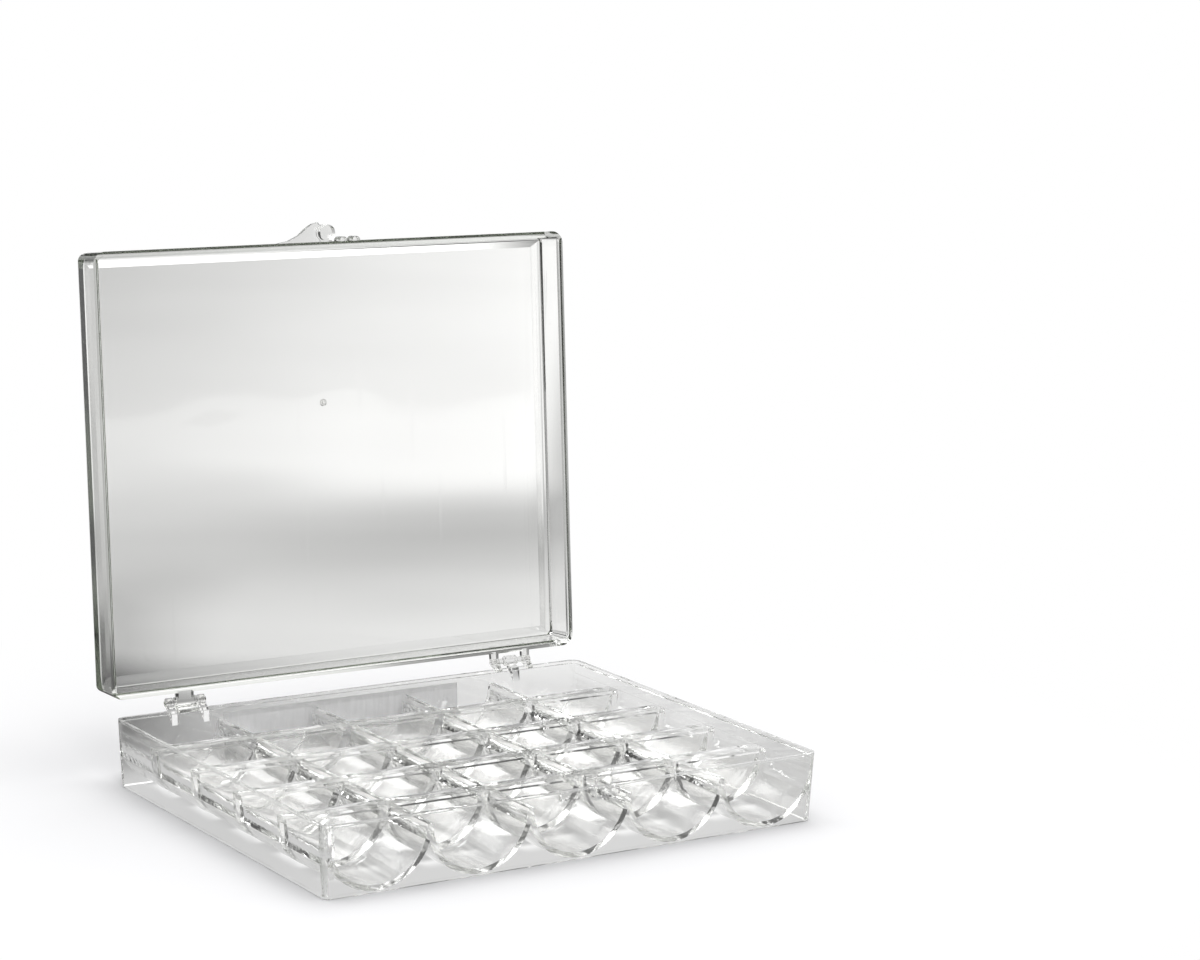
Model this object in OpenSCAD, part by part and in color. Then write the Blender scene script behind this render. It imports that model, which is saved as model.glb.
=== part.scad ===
// Clear hinged storage box for embroidery thread, modelled with the lid open.
// Millimetres, Z up. The origin is the middle of the open box's footprint, on the table.

/* [Case] */
// width of the base at its rim, left to right
case_w = 125; // [118:0.5:126]
// depth of the base at its rim, front to back
case_d = 102.6; // [96:0.2:110]
// height of the base
base_h = 16; // [15.5:0.1:18]
// thickness of the outer walls
wall_t = 1.5; // [1.2:0.1:1.8]
// how far each base wall leans in from rim to foot
base_draft = 0.87; // [0.4:0.01:1.2]
// radius of the upright corners at the base rim
corner_r = 2.6; // [2.4:0.1:4]
// width of the step inside the base rim
rim_step_w = 0.6; // [0.3:0.1:0.8]
// depth of the step inside the base rim
rim_step_h = 0.6; // [0.3:0.1:1.2]
// bevel around the foot of the base
foot_bevel = 0.3; // [0.1:0.05:0.6]

/* [Compartments] */
// compartments across the width
cup_cols = 5;
// compartments from front to back
cup_rows = 5;
// how far the ribs stop below the base rim
rib_drop = 2.9; // [2.6:0.1:3.2]
// thickness of a front-to-back rib at its top
lane_rib_t = 1.4; // [1.2:0.1:1.8]
// width of a hollow cross rib at its top
cross_rib_w = 4.4; // [4:0.1:6]
// how far each face of a cross rib leans out down to the foot
cross_rib_lean = 0.6; // [0.2:0.1:0.8]
// thickness of the moulded trough floor
floor_t = 1.25; // [1:0.05:1.3]
// thickness of the cross rib walls
rib_sheet_t = 1.2; // [0.9:0.1:1.4]
// little ledge between a trough's edge and the side walls
edge_ledge = 0.15; // [0.1:0.05:0.3]
// least height of the underside of the troughs above the table
trough_lift = 0.25; // [0.15:0.05:0.5]

/* [Hinge] */
// distance of the hinge line behind the rear wall
hinge_back = 2.3; // [2.2:0.1:2.6]
// height of the hinge line above the base rim
hinge_rise = 1.15; // [1.05:0.05:1.4]
// distance of the left hinge from the middle of the box
hinge_left_x = 43.6; // [38:0.1:46]
// distance of the right hinge from the middle of the box
hinge_right_x = 44.6; // [38:0.1:46]
// radius of the moulded hinge pins
pin_r = 0.7; // [0.6:0.05:0.75]
// clearance around a pin
pin_gap = 0.05; // [0.02:0.01:0.1]
// radius of the knuckles
knuckle_r = 1.25; // [1.2:0.05:1.3]
// length of the lid knuckle on the left
lid_knuckle_w = 5.2; // [4:0.1:5.8]
// length of the base knuckle on the right
base_knuckle_w = 3; // [2.4:0.1:4]
// thickness of an ear or arm
ear_t = 1.4; // [1.2:0.1:1.6]
// distance of each base ear from the middle of the left hinge
ear_x = 4.05; // [4:0.05:4.5]
// distance of each lid arm from the middle of the right hinge
arm_x = 4.4; // [4:0.1:5]
// thickness of the middle ear on the right
mid_ear_t = 1.9; // [1.4:0.1:2.4]
// how far a pin stands out of the ear it goes through
pin_out = 0.35; // [0.2:0.05:0.6]
// how far the ear gussets run down the rear wall
gusset_h = 3.5; // [2.5:0.1:5]
// width of the web that joins the left knuckle to the lid
web_w = 3.8; // [2.4:0.1:4]
// gap left at the stop when the lid is fully open
stop_gap = 0.05; // [0.02:0.01:0.1]

/* [Lid] */
// angle the lid opens to
open_angle = 94.7; // [92:0.1:98]
// gap between the closed lid and the base rim
lid_gap = 0.1; // [0.05:0.05:0.2]
// how much narrower each side of the lid is than the base
lid_inset_x = 0.1; // [0:0.05:0.2]
// how far the front of the lid overhangs the base rim
lid_over = 0.3; // [0:0.1:0.6]
// height of the lid
lid_h = 10.3; // [9:0.1:12]
// thickness of the lid panel
panel_t = 1.4; // [1.2:0.1:1.8]
// how far each lid wall leans in from rim to panel
lid_draft = 0.5; // [0.3:0.05:0.7]
// radius of the upright corners at the lid rim
lid_corner_r = 3; // [2.6:0.1:4]
// outer rounding around the panel
lid_round = 1; // [0.6:0.1:1.3]
// chamfer between the panel and the walls inside the lid
lid_chamfer = 2.2; // [1:0.1:2.4]
// width of the step inside the lid rim
lid_step = 0.5; // [0.3:0.1:0.8]

/* [Clasp] */
// how far the thumb fin stands out
fin_out = 4.5; // [3:0.1:5]
// thickness of the thumb fin
fin_t = 1.2; // [0.8:0.1:1.6]
// where the thumb fin starts, left of the middle
fin_start_x = -14.5; // [-16:0.1:-12]
// where the thumb fin reaches its full width
fin_full_x = -4.2; // [-6:0.1:-3.5]
// height of the underside of the fin above the lid rim
fin_rise = 1.5; // [1:0.1:2.4]
// diameter of the clasp stud
stud_d = 3.9; // [3:0.1:4.2]
// middle of the clasp stud
stud_x = -2.4; // [-3.5:0.1:-2]
// length of the clasp stud
stud_len = 2.8; // [2:0.1:4]
// radius of the catch ridges
ridge_r = 1; // [0.6:0.1:1.1]
// middle of the first catch ridge
ridge_a_x = 2; // [1.5:0.1:3]
// middle of the second catch ridge
ridge_b_x = 5.4; // [4.8:0.1:6.5]
// length of the catch ridges
ridge_len = 3; // [2:0.1:5]
// left edge of the spring tongue on the base
tongue_x = 2; // [1.5:0.1:3]
// width of the spring tongue
tongue_w = 3.6; // [3:0.1:4]
// how far the tongue rises above the base rim
tongue_rise = 2.9; // [2:0.1:3.5]
// thickness of the tongue
tongue_t = 1.1; // [0.9:0.1:1.4]
// height of the block that carries the tongue
tongue_foot = 2; // [1.5:0.1:3]
// left edge of the arched bracket on the base
bracket_x = -6.1; // [-7:0.1:-5]
// width of the arched bracket
bracket_w = 4.5; // [4:0.1:5]
// height of the arched bracket
bracket_h = 1.9; // [1.6:0.1:3]
// how far the bracket stands out
bracket_out = 1.2; // [0.8:0.1:1.6]
// thickness of the bracket legs
bracket_leg = 1.1; // [0.8:0.1:1.3]
// width of the low pad beside the tongue
pad_w = 3.2; // [2:0.1:4]
// how far the low pad stands out
pad_out = 0.9; // [0.5:0.1:1.4]

/* [Label] */
// left edge of the paper label
label_x = -35.1; // [-38:0.1:-30]
// width of the paper label
label_w = 62.9; // [50:0.1:64]
// lower edge of the paper label above the table
label_z = 2.5; // [2:0.1:4]
// height of the paper label
label_h = 11.6; // [8:0.1:12]
// thickness of the paper label
label_t = 0.12; // [0.1:0.01:0.3]

/* [Hidden] */
$fn = 48;
rib_z = base_h - rib_drop;
lean = base_draft / base_h;
rib_in = wall_t + rib_drop * lean;
cup_w = (case_w - 2 * (rib_in + edge_ledge) - (cup_cols - 1) * lane_rib_t) / cup_cols;
cup_d = (case_d - 2 * rib_in - (cup_rows - 1) * cross_rib_w) / cup_rows;
pitch_x = cup_w + lane_rib_t;
pitch_y = cup_d + cross_rib_w;
trough_depth = min(cup_w / 2, rib_z - floor_t - trough_lift);
trough_r = (pow(cup_w / 2, 2) + pow(trough_depth, 2)) / (2 * trough_depth);
trough_z = rib_z + trough_r - trough_depth;
mid_y = case_d / 2;
hinge_y = case_d + hinge_back;
hinge_z = base_h + hinge_rise;
lid_z = base_h + lid_gap;
lid_w = case_w - 2 * lid_inset_x;
lid_front = -lid_over;
lid_d = case_d + lid_over;
lid_mid = lid_front + lid_d / 2;
ridge_face = lid_front - ridge_r;
tongue_back = ridge_face - 0.15;
front_y = tongue_back - tongue_t;
round_y = lid_front + lid_draft * (lid_h - lid_round) / lid_h + lid_round;
round_z = lid_z + lid_h - lid_round;
rear_y = hinge_y + (round_y - hinge_y) * cos(open_angle)
    + (round_z - hinge_z) * sin(open_angle) + lid_round;
shift_y = -(front_y + rear_y) / 2;
clear_tint = [0.86, 0.88, 0.86, 0.35];
eps = 0.01;

// Upright prism from a front-to-back outline in Y and Z, centred on x.
module cross_prism(x, w) {
    translate([x - w / 2, 0, 0])
        rotate([90, 0, 90])
            linear_extrude(w)
                children();
}

// Block with leaning walls and cone-shaped corners.
// w and d are the half sizes to the corner centres, ra and rb the corner radii at za and zb.
module leaning_block(w, d, za, zb, ra, rb) {
    h = zb - za;
    for (x = [-w, w])
        for (y = [-d, d])
            translate([x, y, za])
                cylinder(h = h, r1 = ra, r2 = rb);
    cross_prism(0, 2 * w)
        polygon([[-d - ra, za], [d + ra, za], [d + rb, zb], [-d - rb, zb]]);
    translate([0, d, 0])
        rotate([90, 0, 0])
            linear_extrude(2 * d)
                polygon([[-w - ra, za], [w + ra, za], [w + rb, zb], [-w - rb, zb]]);
}

// Corner radius of a base outline set in by a distance, at a height.
function base_r(inset, z) = corner_r - inset - lean * (base_h - z);

// Straight-sided space whose walls stand a distance in from the base's outside.
module base_inside(inset, za, zb) {
    wa = case_w / 2 - inset - lean * (base_h - za);
    wb = case_w / 2 - inset - lean * (base_h - zb);
    da = case_d / 2 - inset - lean * (base_h - za);
    db = case_d / 2 - inset - lean * (base_h - zb);
    translate([0, mid_y, 0])
        intersection() {
            cross_prism(0, case_w)
                polygon([[-da, za], [da, za], [db, zb], [-db, zb]]);
            translate([0, case_d / 2, 0])
                rotate([90, 0, 0])
                    linear_extrude(case_d)
                        polygon([[-wa, za], [wa, za], [wb, zb], [-wb, zb]]);
        }
}

// Upright step just inside the rim.
module base_rim_step() {
    r = corner_r - wall_t + rim_step_w;
    translate([0, mid_y, 0])
        leaning_block(case_w / 2 - corner_r, case_d / 2 - corner_r, base_h - rim_step_h,
            base_h + 1, r, r);
}

// Outside of the base, its foot cut by a steeper block.
module base_body() {
    top = base_h + 1;
    spread = (base_r(0, foot_bevel) - base_r(foot_bevel, 0)) / foot_bevel;
    translate([0, mid_y, 0])
        intersection() {
            leaning_block(case_w / 2 - corner_r, case_d / 2 - corner_r, -1, base_h,
                base_r(0, -1), base_r(0, base_h));
            leaning_block(case_w / 2 - corner_r, case_d / 2 - corner_r, 0, top,
                base_r(foot_bevel, 0), base_r(foot_bevel, 0) + spread * top);
        }
}

// Outline of one trough, seen from the front.
module trough_outline(grow) {
    translate([0, trough_z])
        circle(trough_r + grow);
}

// All troughs as long bars from front to back.
module troughs(grow) {
    for (i = [0 : cup_cols - 1])
        translate([(i - (cup_cols - 1) / 2) * pitch_x, case_d, 0])
            rotate([90, 0, 0])
                linear_extrude(case_d)
                    trough_outline(grow);
}

// Slot between two cross ribs, seen from the side.
module slot_outline(j) {
    top = rib_z + 1;
    low = rib_z - trough_depth;
    slope = cross_rib_lean / trough_depth;
    ya = rib_in + j * pitch_y;
    yb = ya + cup_d;
    wall_a = j == 0 ? 1 : 0;
    wall_b = j == cup_rows - 1 ? 1 : 0;
    polygon([
        [ya - slope - wall_a, top],
        [yb + slope + wall_b, top],
        [yb - cross_rib_lean + wall_b, low - eps],
        [ya + cross_rib_lean - wall_a, low - eps]
    ]);
}

module cups() {
    intersection() {
        troughs(0);
        for (j = [0 : cup_rows - 1])
            cross_prism(0, case_w)
                slot_outline(j);
    }
}

// Hollow core under one cross rib.
module rib_core(j) {
    y = rib_in + j * pitch_y - cross_rib_w / 2;
    top_w = cross_rib_w - 2 * rib_sheet_t;
    low_w = top_w + 2 * cross_rib_lean;
    cross_prism(0, case_w)
        polygon([
            [y - low_w / 2, -1],
            [y + low_w / 2, -1],
            [y + top_w / 2, rib_z - rib_sheet_t],
            [y - top_w / 2, rib_z - rib_sheet_t]
        ]);
}

// Ribs and trough floors, reaching a little into the walls.
module cup_grid() {
    difference() {
        base_inside(wall_t - 0.6, 0.1, rib_z);
        cups();
        difference() {
            translate([-case_w / 2, 0, -1])
                cube([case_w, case_d, rib_z]);
            troughs(floor_t);
        }
        for (j = [1 : cup_rows - 1])
            rib_core(j);
    }
}

// Ear with a boss on the hinge line and a gusset down the rear wall.
module ear_outline() {
    translate([hinge_y, hinge_z])
        circle(knuckle_r);
    polygon([
        [case_d - 0.9, base_h - gusset_h],
        [case_d - lean * gusset_h, base_h - gusset_h],
        [hinge_y - 0.1, base_h - 0.25],
        [hinge_y + 0.98, hinge_z - 0.78],
        [hinge_y - 0.7, hinge_z + 1.03],
        [case_d + 0.6, base_h + 0.15],
        [case_d - 0.05, base_h],
        [case_d - 0.9, base_h]
    ]);
}

module base_ears() {
    for (s = [-1, 1])
        difference() {
            cross_prism(-hinge_left_x + s * ear_x, ear_t)
                ear_outline();
            cross_prism(-hinge_left_x + s * ear_x, ear_t + 1)
                translate([hinge_y, hinge_z])
                    circle(pin_r + pin_gap);
        }
    cross_prism(hinge_right_x, mid_ear_t)
        ear_outline();
    cross_prism(hinge_right_x, base_knuckle_w)
        translate([hinge_y, hinge_z])
            circle(knuckle_r);
    cross_prism(hinge_right_x, 2 * (arm_x + ear_t / 2 + pin_out))
        translate([hinge_y, hinge_z])
            circle(pin_r);
}

module base_clasp() {
    // spring tongue on its block
    translate([tongue_x, front_y, base_h - tongue_foot])
        cube([tongue_w, 0.9 - front_y, tongue_foot - 0.2]);
    translate([tongue_x, front_y, base_h - tongue_foot])
        cube([tongue_w, tongue_t, tongue_foot + tongue_rise]);
    // arched bracket
    difference() {
        translate([bracket_x, -bracket_out, base_h - bracket_h])
            cube([bracket_w, bracket_out + 0.9, bracket_h - 0.1]);
        translate([bracket_x + bracket_w / 2, -0.1, 0])
            rotate([90, 0, 0])
                linear_extrude(bracket_out + 1) {
                    translate([0, base_h - bracket_leg - 1.15])
                        circle(bracket_w / 2 - bracket_leg);
                    translate([-bracket_w / 2 + bracket_leg, base_h - bracket_h - 1])
                        square([bracket_w - 2 * bracket_leg, bracket_h - bracket_leg - 0.15]);
                }
    }
    // low pad beside the tongue
    translate([tongue_x + tongue_w - 0.1, -pad_out, base_h - tongue_foot])
        cube([pad_w + 0.1, pad_out + 0.9, 1.4]);
}

module compartment_base() {
    color(clear_tint)
        translate([0, shift_y, 0]) {
            difference() {
                base_body();
                base_inside(wall_t, 0, base_h);
                base_rim_step();
            }
            cup_grid();
            base_ears();
            base_clasp();
        }
}

// Outline of the lid across one direction, with leaning sides and rounded or chamfered top corners.
module lid_outline(half, inset, h, lean_in, r, rounded) {
    a = half - inset;
    b = a - lean_in;
    cut = lean_in / h * r;
    polygon([[-a, 0], [a, 0], [b + cut, h - r], [b + cut - r, h], [-b - cut + r, h], [-b - cut, h - r]]);
    if (rounded)
        for (s = [-1, 1])
            translate([s * (b + cut - r), h - r])
                circle(r);
}

// Lid body or the space inside it without its upright corners, standing on z = 0 around the lid's middle.
module lid_form(inset, h, r, rounded) {
    lean_in = lid_draft * h / lid_h;
    intersection() {
        cross_prism(0, lid_w)
            lid_outline(lid_d / 2, inset, h, lean_in, r, rounded);
        translate([0, lid_d / 2, 0])
            rotate([90, 0, 0])
                linear_extrude(lid_d)
                    lid_outline(lid_w / 2, inset, h, lean_in, r, rounded);
    }
}

module lid_shell() {
    translate([0, lid_mid, lid_z])
        difference() {
            intersection() {
                leaning_block(lid_w / 2 - lid_corner_r, lid_d / 2 - lid_corner_r, 0, lid_h,
                    lid_corner_r, lid_corner_r - lid_draft);
                lid_form(0, lid_h, lid_round, true);
            }
            lid_form(wall_t, lid_h - panel_t, lid_chamfer, false);
            translate([0, 0, -lid_step])
                leaning_block(lid_w / 2 - lid_corner_r, lid_d / 2 - lid_corner_r, 0, 2 * lid_step,
                    lid_corner_r - wall_t + lid_step, lid_corner_r - wall_t + lid_step);
        }
}

// Lug that meets the rear wall when the lid is fully open, drawn in the open pose.
module stop_outline() {
    polygon([
        [-0.2, -knuckle_r + 0.02],
        [-hinge_back + stop_gap + 0.55, -2.15],
        [-hinge_back + stop_gap, -1.95],
        [-hinge_back + stop_gap, -1.35],
        [-1.15, 0.3],
        [0.3, 0.3]
    ]);
}

module stop_lug(x, w) {
    translate([0, hinge_y, hinge_z])
        rotate([open_angle, 0, 0])
            cross_prism(x, w)
                stop_outline();
}

// Web from the lid's rear wall to the hinge line.
module lid_web(x, w) {
    cross_prism(x, w)
        polygon([
            [case_d - 0.7, base_h + 0.3],
            [hinge_y - 0.2, base_h + 0.3],
            [hinge_y + 0.9, hinge_z + 0.8],
            [hinge_y - 0.1, hinge_z + knuckle_r - 0.02],
            [case_d - 0.7, hinge_z + knuckle_r + 0.3]
        ]);
}

module lid_left_hinge() {
    x = -hinge_left_x;
    cross_prism(x, lid_knuckle_w)
        translate([hinge_y, hinge_z])
            circle(knuckle_r);
    cross_prism(x, 2 * (ear_x + ear_t / 2 + pin_out))
        translate([hinge_y, hinge_z])
            circle(pin_r);
    lid_web(x, web_w);
    stop_lug(x, lid_knuckle_w);
}

module lid_right_hinge() {
    for (s = [-1, 1])
        difference() {
            union() {
                x = hinge_right_x + s * arm_x;
                cross_prism(x, ear_t)
                    translate([hinge_y, hinge_z])
                        circle(knuckle_r);
                lid_web(x, ear_t);
                stop_lug(x, ear_t);
            }
            cross_prism(hinge_right_x + s * arm_x, ear_t + 1)
                translate([hinge_y, hinge_z])
                    circle(pin_r + pin_gap);
        }
    // plate between the arms
    cross_prism(hinge_right_x, 2 * arm_x)
        polygon([
            [case_d - 0.7, base_h + 0.3],
            [case_d + 0.2, base_h + 0.3],
            [case_d + 0.2, base_h + 1.1],
            [case_d - 0.7, base_h + 2.2]
        ]);
}

// Thumb fin, stud and catch ridges on the front of the lid.
module lid_clasp() {
    face = lid_front;
    run = fin_full_x - fin_start_x;
    translate([0, 0, lid_z + fin_rise])
        linear_extrude(fin_t)
            polygon([
                [fin_start_x - 2, face + 0.8],
                [fin_start_x, face],
                [fin_start_x + 0.25 * run, face - 0.1 * fin_out],
                [fin_start_x + 0.5 * run, face - 0.35 * fin_out],
                [fin_start_x + 0.72 * run, face - 0.75 * fin_out],
                [fin_start_x + 0.86 * run, face - 0.93 * fin_out],
                [fin_full_x, face - fin_out],
                [stud_x, face - stud_d / 2 - 0.15],
                [stud_x, face + 0.8]
            ]);
    translate([stud_x, face - stud_d / 2 - 0.1, lid_z + 0.15])
        cylinder(h = stud_len, d = stud_d);
    translate([stud_x - 1, face - stud_d / 2 - 0.1, lid_z + 0.15])
        cube([2, stud_d / 2 + 0.9, stud_len]);
    for (x = [ridge_a_x, ridge_b_x])
        translate([x, face, lid_z + 0.6])
            cylinder(h = ridge_len, r = ridge_r);
}

module lid() {
    color(clear_tint)
        translate([0, shift_y, 0])
            translate([0, hinge_y, hinge_z])
                rotate([-open_angle, 0, 0])
                    translate([0, -hinge_y, -hinge_z]) {
                        lid_shell();
                        lid_left_hinge();
                        lid_right_hinge();
                        lid_clasp();
                    }
}

// Blank paper label on the outside of the rear wall.
module paper_label() {
    za = label_z;
    zb = label_z + label_h;
    ya = case_d - lean * (base_h - za);
    yb = case_d - lean * (base_h - zb);
    color([0.97, 0.97, 0.96])
        translate([label_x + label_w / 2, shift_y, 0])
            cross_prism(0, label_w)
                polygon([[ya, za], [ya + label_t, za], [yb + label_t, zb], [yb, zb]]);
}

compartment_base();
lid();
paper_label();
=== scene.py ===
import math

import bmesh
import bpy
from mathutils import Matrix, Vector


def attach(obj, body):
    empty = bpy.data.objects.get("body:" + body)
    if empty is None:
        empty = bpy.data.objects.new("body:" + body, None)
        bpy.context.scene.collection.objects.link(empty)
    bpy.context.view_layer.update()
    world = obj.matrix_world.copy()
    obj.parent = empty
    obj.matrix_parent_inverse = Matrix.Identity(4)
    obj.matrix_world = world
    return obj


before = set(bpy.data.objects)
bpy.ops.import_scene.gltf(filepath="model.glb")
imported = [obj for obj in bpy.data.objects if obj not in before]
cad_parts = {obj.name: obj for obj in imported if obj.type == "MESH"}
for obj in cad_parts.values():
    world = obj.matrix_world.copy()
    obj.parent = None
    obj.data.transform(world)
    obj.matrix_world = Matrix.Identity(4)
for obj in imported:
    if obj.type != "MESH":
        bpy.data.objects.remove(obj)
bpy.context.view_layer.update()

MM = 0.001
scene = bpy.context.scene

# ---------------------------------------------------------------- camera

CAMERA_PLACE = (-0.36982, -0.64078, 0.20746)
CAMERA_RIGHT = (0.83827, -0.54484, 0.02134)
CAMERA_UP = (0.08582, 0.17047, 0.98162)
CAMERA_BACK = (-0.53846, -0.82103, 0.18966)


def add_camera():
    lens_data = bpy.data.cameras.new("camera")
    lens_data.sensor_width = 36.0
    lens_data.lens = 99.775
    lens_data.shift_x = -0.0268
    lens_data.shift_y = 0.0344
    lens_data.clip_start = 0.01
    lens_data.clip_end = 50.0
    camera = bpy.data.objects.new("camera", lens_data)
    turn = Matrix((CAMERA_RIGHT, CAMERA_UP, CAMERA_BACK)).transposed().to_4x4()
    camera.matrix_world = Matrix.Translation(CAMERA_PLACE) @ turn
    scene.collection.objects.link(camera)
    scene.camera = camera


# ---------------------------------------------------------------- node helpers


def add_node(tree, kind, **settings):
    node = tree.nodes.new(kind)
    for name, value in settings.items():
        setattr(node, name, value)
    return node


def set_inputs(node, **values):
    for name, value in values.items():
        node.inputs[name.replace("_", " ")].default_value = value
    return node


def join(tree, source, target):
    tree.links.new(source, target)


def math_node(tree, operation, first, second, clamp=False):
    node = add_node(tree, "ShaderNodeMath", operation=operation, use_clamp=clamp)
    for slot, value in enumerate((first, second)):
        if isinstance(value, (int, float)):
            node.inputs[slot].default_value = value
        else:
            join(tree, value, node.inputs[slot])
    return node.outputs[0]


def range_node(tree, value, low, high, to_low=0.0, to_high=1.0):
    node = add_node(tree, "ShaderNodeMapRange", interpolation_type="SMOOTHSTEP")
    set_inputs(node, From_Min=low, From_Max=high, To_Min=to_low, To_Max=to_high)
    join(tree, value, node.inputs["Value"])
    return node.outputs["Result"]


def dot_node(tree, vector, direction):
    node = add_node(tree, "ShaderNodeVectorMath", operation="DOT_PRODUCT")
    join(tree, vector, node.inputs[0])
    node.inputs[1].default_value = direction
    return node.outputs["Value"]


def product(tree, first, *others):
    for other in others:
        first = math_node(tree, "MULTIPLY", first, other)
    return first


def between(tree, value, start, full, fading, gone):
    """One between full and fading, nothing before start and after gone."""
    return product(tree, range_node(tree, value, start, full), range_node(tree, value, fading, gone, 1.0, 0.0))


def new_material(name):
    material = bpy.data.materials.new(name)
    material.use_nodes = True
    tree = material.node_tree
    tree.nodes.clear()
    return material, tree


# ---------------------------------------------------------------- finishes


HAZE_ROUGHNESS = 0.02
MARK_ROUGHNESS = 0.35
MARK_DEPTH = 0.000004
PLASTIC_ROUGHNESS = 0.015
PLASTIC_IOR = 1.57
DEPTH_TINT = (0.72, 0.74, 0.70)


def build_moulded_surface():
    """The marks of injection moulding and handling on clear plastic."""
    group = bpy.data.node_groups.new("moulded_surface", "ShaderNodeTree")
    face = group.interface
    for name, kind, start in (
        ("Position", "NodeSocketVector", None),
        ("Flow Scale", "NodeSocketFloat", 60.0),
        ("Flow Height", "NodeSocketFloat", 0.0002),
        ("Handling", "NodeSocketFloat", 0.5),
        ("Base Roughness", "NodeSocketFloat", 0.02),
        ("Thin Tint", "NodeSocketColor", (0.9, 0.9, 0.9, 1.0)),
        ("Deep Tint", "NodeSocketColor", (0.8, 0.8, 0.8, 1.0)),
    ):
        socket = face.new_socket(name=name, in_out="INPUT", socket_type=kind)
        if start is not None:
            socket.default_value = start
    for name, kind in (
        ("Tint", "NodeSocketColor"),
        ("Roughness", "NodeSocketFloat"),
        ("Height", "NodeSocketFloat"),
    ):
        face.new_socket(name=name, in_out="OUTPUT", socket_type=kind)
    given = add_node(group, "NodeGroupInput")
    made = add_node(group, "NodeGroupOutput")
    position = given.outputs["Position"]

    flow = set_inputs(add_node(group, "ShaderNodeTexNoise"), Detail=1.0, Roughness=0.35)
    join(group, position, flow.inputs["Vector"])
    join(group, given.outputs["Flow Scale"], flow.inputs["Scale"])
    flow_value = flow.outputs["Fac"]

    # fine rubbed lines: two noises drawn out along crossing directions
    lines = []
    for turn, stretch in ((0.5, (900.0, 25.0, 25.0)), (-0.9, (25.0, 900.0, 25.0))):
        placed = add_node(group, "ShaderNodeMapping")
        placed.inputs["Rotation"].default_value = (turn, 0.3, turn * 0.7)
        placed.inputs["Scale"].default_value = stretch
        join(group, position, placed.inputs["Vector"])
        hair = set_inputs(add_node(group, "ShaderNodeTexNoise"), Scale=1.0, Detail=2.0)
        join(group, placed.outputs["Vector"], hair.inputs["Vector"])
        lines.append(range_node(group, hair.outputs["Fac"], 0.68, 0.74))
    scratch = math_node(group, "MAXIMUM", lines[0], lines[1])

    # specks of dust: small dots in a few cells
    cells = set_inputs(add_node(group, "ShaderNodeTexVoronoi"), Scale=260.0)
    join(group, position, cells.inputs["Vector"])
    dot = range_node(group, cells.outputs["Distance"], 0.05, 0.09, 1.0, 0.0)
    chosen = add_node(group, "ShaderNodeSeparateColor")
    join(group, cells.outputs["Color"], chosen.inputs["Color"])
    few = math_node(group, "GREATER_THAN", chosen.outputs["Red"], 0.72)
    speck = product(group, dot, few)

    marks = product(group, math_node(group, "MAXIMUM", scratch, speck), given.outputs["Handling"])
    haze = product(group, range_node(group, flow_value, 0.35, 0.75), HAZE_ROUGHNESS)
    rough = math_node(group, "ADD", given.outputs["Base Roughness"], haze)
    rough = math_node(group, "ADD", rough, product(group, marks, MARK_ROUGHNESS), clamp=True)

    tint = add_node(group, "ShaderNodeMix", data_type="RGBA")
    join(group, range_node(group, flow_value, 0.3, 0.7), tint.inputs["Factor"])
    join(group, given.outputs["Thin Tint"], tint.inputs[6])
    join(group, given.outputs["Deep Tint"], tint.inputs[7])

    relief = product(group, flow_value, given.outputs["Flow Height"])
    relief = math_node(group, "SUBTRACT", relief, product(group, marks, MARK_DEPTH))

    join(group, tint.outputs[2], made.inputs["Tint"])
    join(group, rough, made.inputs["Roughness"])
    join(group, relief, made.inputs["Height"])
    return group


def clear_plastic(name, surface, thin, deep, flow_scale, flow_height, handling, depth_density):
    """Clear polystyrene: thin and deep are the tints of the flow marks, depth_density greys long ways through it."""
    material, tree = new_material(name)
    out = add_node(tree, "ShaderNodeOutputMaterial")
    shader = add_node(tree, "ShaderNodeBsdfPrincipled")
    set_inputs(shader, Metallic=0.0, IOR=PLASTIC_IOR, Transmission_Weight=1.0)
    marks = add_node(tree, "ShaderNodeGroup", node_tree=surface)
    set_inputs(marks, Flow_Scale=flow_scale, Flow_Height=flow_height, Handling=handling)
    set_inputs(marks, Base_Roughness=PLASTIC_ROUGHNESS)
    marks.inputs["Thin Tint"].default_value = (*thin, 1.0)
    marks.inputs["Deep Tint"].default_value = (*deep, 1.0)
    place = add_node(tree, "ShaderNodeTexCoord")
    join(tree, place.outputs["Object"], marks.inputs["Position"])
    bump = set_inputs(add_node(tree, "ShaderNodeBump"), Strength=1.0, Distance=1.0)
    join(tree, marks.outputs["Height"], bump.inputs["Height"])
    join(tree, marks.outputs["Tint"], shader.inputs["Base Color"])
    join(tree, marks.outputs["Roughness"], shader.inputs["Roughness"])
    join(tree, bump.outputs["Normal"], shader.inputs["Normal"])
    depth = set_inputs(add_node(tree, "ShaderNodeVolumeAbsorption"), Density=depth_density)
    depth.inputs["Color"].default_value = (*DEPTH_TINT, 1.0)
    # lamps and soft light pass straight through the walls, less where they meet a wall edge-on
    through = add_node(tree, "ShaderNodeBsdfTransparent")
    facing = set_inputs(add_node(tree, "ShaderNodeLayerWeight"), Blend=0.5)
    join(tree, range_node(tree, facing.outputs["Facing"], 0.15, 0.85, 0.92, 0.05), through.inputs["Color"])
    path = add_node(tree, "ShaderNodeLightPath")
    soft = math_node(tree, "MAXIMUM", path.outputs["Is Shadow Ray"], path.outputs["Is Diffuse Ray"])
    mixed = add_node(tree, "ShaderNodeMixShader")
    join(tree, soft, mixed.inputs["Fac"])
    join(tree, shader.outputs["BSDF"], mixed.inputs[1])
    join(tree, through.outputs["BSDF"], mixed.inputs[2])
    join(tree, mixed.outputs["Shader"], out.inputs["Surface"])
    join(tree, depth.outputs["Volume"], out.inputs["Volume"])
    return material


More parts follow.
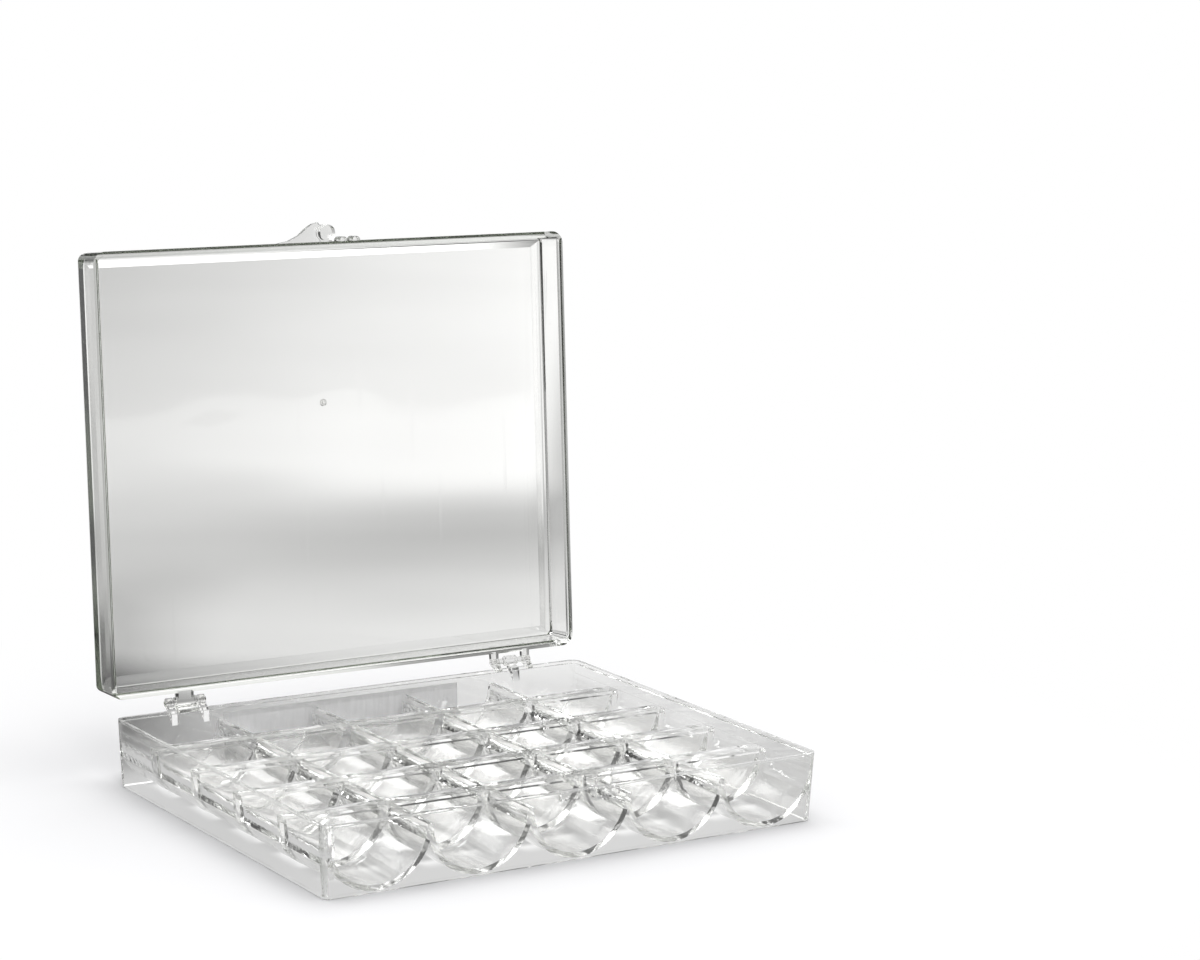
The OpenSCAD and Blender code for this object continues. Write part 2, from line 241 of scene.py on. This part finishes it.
def label_paper():
    material, tree = new_material("label_paper")
    out = add_node(tree, "ShaderNodeOutputMaterial")
    shader = set_inputs(add_node(tree, "ShaderNodeBsdfPrincipled"), Roughness=0.7, Subsurface_Weight=1.0)
    shader.inputs["Subsurface Radius"].default_value = (1.0, 1.0, 1.0)
    shader.inputs["Subsurface Scale"].default_value = 0.0006
    place = add_node(tree, "ShaderNodeTexCoord")
    drawn = add_node(tree, "ShaderNodeMapping")
    drawn.inputs["Scale"].default_value = (1.0, 1.0, 0.12)
    join(tree, place.outputs["Object"], drawn.inputs["Vector"])
    streak = set_inputs(add_node(tree, "ShaderNodeTexNoise"), Scale=900.0, Detail=3.0)
    join(tree, drawn.outputs["Vector"], streak.inputs["Vector"])
    fibre = set_inputs(add_node(tree, "ShaderNodeTexNoise"), Scale=3500.0, Detail=4.0)
    join(tree, place.outputs["Object"], fibre.inputs["Vector"])
    tone = add_node(tree, "ShaderNodeMix", data_type="RGBA")
    join(tree, range_node(tree, streak.outputs["Fac"], 0.35, 0.7), tone.inputs["Factor"])
    tone.inputs[6].default_value = (0.95, 0.95, 0.94, 1.0)
    tone.inputs[7].default_value = (0.86, 0.86, 0.85, 1.0)
    bump = set_inputs(add_node(tree, "ShaderNodeBump"), Strength=0.5, Distance=0.00005)
    join(tree, fibre.outputs["Fac"], bump.inputs["Height"])
    join(tree, tone.outputs[2], shader.inputs["Base Color"])
    join(tree, bump.outputs["Normal"], shader.inputs["Normal"])
    join(tree, shader.outputs["BSDF"], out.inputs["Surface"])
    return material


# ---------------------------------------------------------------- studio


# The camera sees a plain white room and a plain pale floor. Clear plastic shows, through itself and in its gloss, a set
# with lighter and darker areas instead, which stands still in the room: a toned world and painted light and shade on
# the floor.
BACKDROP_SIDE = (0.25, 0.97, 0.0)
UPWARDS = (0.0, 0.0, 1.0)
SET_TONES = (0.06, 1.08)
PANEL_TONES = (0.15, 1.5)
EVEN_LIGHT = 0.72


def light_world():
    world = bpy.data.worlds.new("studio")
    scene.world = world
    world.use_nodes = True
    tree = world.node_tree
    tree.nodes.clear()
    out = add_node(tree, "ShaderNodeOutputWorld")
    path = add_node(tree, "ShaderNodeLightPath")
    direction = add_node(tree, "ShaderNodeTexCoord").outputs["Generated"]
    height = dot_node(tree, direction, UPWARDS)
    backdrop = range_node(tree, dot_node(tree, direction, BACKDROP_SIDE), -0.75, 0.35)
    overhead = range_node(tree, height, 0.62, 0.85)
    tone = range_node(tree, math_node(tree, "MAXIMUM", backdrop, overhead), 0.0, 1.0, *SET_TONES)
    low_wall = range_node(tree, height, 0.15, 0.45, 0.6, 1.0)
    panels = set_inputs(add_node(tree, "ShaderNodeTexNoise"), Scale=4.0, Detail=1.0)
    join(tree, direction, panels.inputs["Vector"])
    tone = product(tree, tone, low_wall, range_node(tree, panels.outputs["Fac"], 0.46, 0.55, *PANEL_TONES))
    # matt surfaces get plain even light
    even = add_node(tree, "ShaderNodeMix", data_type="FLOAT")
    join(tree, path.outputs["Is Diffuse Ray"], even.inputs["Factor"])
    join(tree, tone, even.inputs[2])
    even.inputs[3].default_value = EVEN_LIGHT
    strength = math_node(tree, "MAXIMUM", even.outputs[0], path.outputs["Is Camera Ray"])
    back = add_node(tree, "ShaderNodeBackground")
    back.inputs["Color"].default_value = (1.0, 1.0, 1.0, 1.0)
    join(tree, strength, back.inputs["Strength"])
    join(tree, back.outputs["Background"], out.inputs["Surface"])


# the set's two directions on the floor, fixed in the room: along the front of the picture and towards its back
ACROSS = (0.8383, -0.5448, 0.0)
AWAY = (0.5485, 0.8362, 0.0)
FLOOR_SIZE = 8.0
FLOOR_COLOUR = (0.84, 0.84, 0.85, 1.0)
FLOOR_GLOW = 0.05
WHITE_FROM, WHITE_AT = 0.09, 0.19
DARKEST_AREA = 0.52
TROUGH_PITCH = (0.024557, 0.020736)
TROUGH_START = (0.0, -0.0502)


def painted_trough_light(tree, place):
    """Painted light on the table under the box, in place of the light that the troughs gather: a soft bright patch
    below each compartment, with slight painted shade between them.
    """
    parts = add_node(tree, "ShaderNodeSeparateXYZ")
    join(tree, place, parts.inputs["Vector"])
    sides = []
    for axis, pitch, start in zip("XY", TROUGH_PITCH, TROUGH_START):
        steps = math_node(tree, "DIVIDE", math_node(tree, "SUBTRACT", parts.outputs[axis], start), pitch)
        sides.append(math_node(tree, "PINGPONG", steps, 0.5))
    patch = range_node(tree, math_node(tree, "MAXIMUM", sides[0], sides[1]), 0.22, 0.38, 0.60, -0.14)
    in_width = between(tree, parts.outputs["X"], -0.056, -0.050, 0.056, 0.062)
    in_depth = between(tree, parts.outputs["Y"], -0.050, -0.040, 0.040, 0.046)
    return product(tree, patch, product(tree, in_width, in_depth))


def painted_floor_shading(tree):
    """Painted light and shade: soft light and dark areas of the set's table, seen only through or in the plastic."""
    place = add_node(tree, "ShaderNodeTexCoord").outputs["Object"]
    across = dot_node(tree, place, ACROSS)
    away = dot_node(tree, place, AWAY)
    drift = set_inputs(add_node(tree, "ShaderNodeTexNoise"), Scale=6.5, Detail=1.5)
    join(tree, place, drift.inputs["Vector"])
    wander = math_node(tree, "SUBTRACT", drift.outputs["Fac"], 0.5)
    side = math_node(tree, "ADD", across, product(tree, wander, 0.06))
    near = math_node(tree, "ADD", away, product(tree, wander, 0.18))

    # painted light and shade: from grey at the left to light at the right, less a soft painted shadow and painted shade
    # at the table's front, its left corner and along a narrow stripe
    tone = range_node(tree, side, -0.30, 0.05, 0.64, 1.13)
    painted_soft_shadow = product(tree, between(tree, near, 0.17, 0.29, 0.32, 0.45), range_node(tree, side, -0.16, 0.0, 0.12, 0.48))
    front = range_node(tree, near, 0.16, 0.36, 0.22, 0.0)
    corner = product(
        tree, range_node(tree, near, 0.20, 0.26, 0.28, 0.0), range_node(tree, side, -0.11, -0.066, 1.0, 0.0)
    )
    painted_shade_stripe = product(
        tree,
        between(tree, across, 0.006, 0.022, 0.06, 0.10),
        range_node(tree, away, 0.28, 0.45, 0.0, 0.50),
        range_node(tree, away, 0.10, 0.16),
    )
    for dark in (painted_soft_shadow, front, corner, painted_shade_stripe):
        tone = math_node(tree, "SUBTRACT", tone, dark)
    tone = math_node(tree, "MAXIMUM", tone, DARKEST_AREA)

    # painted shade on the table close to the box: greyer under it, behind it and at its right
    tone = product(tree, tone, range_node(tree, away, -0.04, 0.08, 0.76, 1.04))
    behind = product(
        tree, between(tree, away, 0.0, 0.03, 0.10, 0.14), range_node(tree, across, -0.087, -0.024, 0.42, 0.16)
    )
    beside = product(
        tree, range_node(tree, across, 0.06, 0.09), range_node(tree, across, 0.16, 0.30, 0.12, 0.0)
    )
    for dark in (behind, beside):
        tone = math_node(tree, "SUBTRACT", tone, dark)
    # painted light under the compartments is added on top
    return math_node(tree, "ADD", tone, painted_trough_light(tree, place))


def add_floor():
    shape = bmesh.new()
    bmesh.ops.create_grid(shape, x_segments=2, y_segments=2, size=FLOOR_SIZE)
    mesh = bpy.data.meshes.new("floor")
    shape.to_mesh(mesh)
    shape.free()
    floor = bpy.data.objects.new("floor", mesh)
    scene.collection.objects.link(floor)
    material, tree = new_material("pale_floor")
    out = add_node(tree, "ShaderNodeOutputMaterial")
    matt = add_node(tree, "ShaderNodeBsdfDiffuse")
    matt.inputs["Color"].default_value = FLOOR_COLOUR
    path = add_node(tree, "ShaderNodeLightPath")
    glow = add_node(tree, "ShaderNodeEmission")
    join(tree, product(tree, path.outputs["Is Camera Ray"], FLOOR_GLOW), glow.inputs["Strength"])
    seen = add_node(tree, "ShaderNodeAddShader")
    join(tree, matt.outputs["BSDF"], seen.inputs[0])
    join(tree, glow.outputs["Emission"], seen.inputs[1])
    # further out the camera sees the floor run into plain white, past the object's shadow
    place = add_node(tree, "ShaderNodeTexCoord").outputs["Object"]
    reach = add_node(tree, "ShaderNodeVectorMath", operation="LENGTH")
    join(tree, place, reach.inputs[0])
    white = add_node(tree, "ShaderNodeEmission")
    fade = add_node(tree, "ShaderNodeMixShader")
    distant = range_node(tree, reach.outputs["Value"], WHITE_FROM, WHITE_AT)
    join(tree, product(tree, distant, path.outputs["Is Camera Ray"]), fade.inputs["Fac"])
    join(tree, seen.outputs["Shader"], fade.inputs[1])
    join(tree, white.outputs["Emission"], fade.inputs[2])
    # through or in the plastic the floor shows its painted light and shade instead
    shown = add_node(tree, "ShaderNodeEmission")
    join(tree, painted_floor_shading(tree), shown.inputs["Strength"])
    pick = add_node(tree, "ShaderNodeMixShader")
    indirect = math_node(tree, "MAXIMUM", path.outputs["Is Transmission Ray"], path.outputs["Is Glossy Ray"])
    join(tree, indirect, pick.inputs["Fac"])
    join(tree, fade.outputs["Shader"], pick.inputs[1])
    join(tree, shown.outputs["Emission"], pick.inputs[2])
    join(tree, pick.outputs["Shader"], out.inputs["Surface"])
    floor.data.materials.append(material)


def add_lamp(name, place, aim, size, power):
    data = bpy.data.lights.new(name, "AREA")
    data.shape = "SQUARE"
    data.size = size
    data.energy = power
    lamp = bpy.data.objects.new(name, data)
    towards = Vector(aim) - Vector(place)
    turn = towards.to_track_quat("-Z", "Y").to_matrix().to_4x4()
    lamp.matrix_world = Matrix.Translation(place) @ turn
    scene.collection.objects.link(lamp)


# ---------------------------------------------------------------- pieces


def finish_piece(name, shape, material, body):
    """Turns a bmesh in millimetres of the frame into a piece that rides on a body."""
    bmesh.ops.remove_doubles(shape, verts=shape.verts, dist=0.0005)
    bmesh.ops.recalc_face_normals(shape, faces=shape.faces)
    bmesh.ops.scale(shape, vec=(MM, MM, MM), verts=shape.verts)
    mesh = bpy.data.meshes.new(name)
    shape.to_mesh(mesh)
    shape.free()
    piece = bpy.data.objects.new(name, mesh)
    scene.collection.objects.link(piece)
    mesh.materials.append(material)
    for polygon in mesh.polygons:
        polygon.use_smooth = True
    mesh.set_sharp_from_angle(angle=math.radians(35.0))
    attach(piece, body)
    return piece


def give_material(node_name, material):
    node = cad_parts[node_name]
    node.data.materials.clear()
    node.data.materials.append(material)


def gate_mark(centre, normal, radius, height):
    """The broken-off stub of a moulding gate in a shallow ring: a turned profile on a wall."""
    shape = bmesh.new()
    profile = [
        (0.0, height), (radius * 0.30, height * 0.96), (radius * 0.42, height * 0.60),
        (radius * 0.50, height * 0.22), (radius * 0.80, height * 0.16), (radius, -0.04), (0.0, -0.04),
    ]
    points = [shape.verts.new((r, 0.0, z)) for r, z in profile]
    edges = [shape.edges.new(pair) for pair in zip(points, points[1:])]
    bmesh.ops.spin(shape, geom=points + edges, cent=(0, 0, 0), axis=(0, 0, 1), angle=math.tau,
                   steps=32, use_merge=True)
    bmesh.ops.remove_doubles(shape, verts=shape.verts, dist=0.0005)
    turn = Vector((0, 0, 1)).rotation_difference(Vector(normal)).to_matrix().to_4x4()
    bmesh.ops.transform(shape, matrix=Matrix.Translation(centre) @ turn, verts=shape.verts)
    return shape


add_camera()
light_world()
add_floor()
add_lamp("softbox", (0.15, 0.10, 1.05), (0.0, 0.0, 0.03), 0.9, 4.2)
add_lamp("fill", (-0.35, -1.1, 0.75), (0.0, 0.0, 0.03), 0.5, 5.0)

moulded_surface = build_moulded_surface()
clear_base = clear_plastic(
    "clear_base", moulded_surface, thin=(0.995, 0.995, 0.992), deep=(0.98, 0.98, 0.975),
    flow_scale=90.0, flow_height=0.00016, handling=0.35, depth_density=8.0,
)
clear_lid = clear_plastic(
    "clear_lid", moulded_surface, thin=(0.95, 0.95, 0.94), deep=(0.92, 0.92, 0.91),
    flow_scale=22.0, flow_height=0.0003, handling=0.35, depth_density=45.0,
)
paper = label_paper()
give_material("compartment_base", clear_base)
give_material("lid", clear_lid)
give_material("paper_label", paper)

# the stub of the moulding gate on the lid's inner face, above its middle
GATE_PLACE = (-0.6, 58.14, 82.8)
LID_INWARDS = (0.0, -0.9966, 0.0819)
stub = gate_mark(GATE_PLACE, LID_INWARDS, radius=0.9, height=0.4)
finish_piece("lid_gate_mark", stub, clear_lid, "lid")

scene.view_settings.view_transform = "Standard"
# rays are caught between the thin walls for a long way; fewer bounces leave black bands beside the ribs
WALL_BOUNCES = 96
scene.cycles.max_bounces = WALL_BOUNCES
scene.cycles.transmission_bounces = WALL_BOUNCES
scene.cycles.glossy_bounces = WALL_BOUNCES
scene.cycles.caustics_refractive = False
scene.cycles.caustics_reflective = False
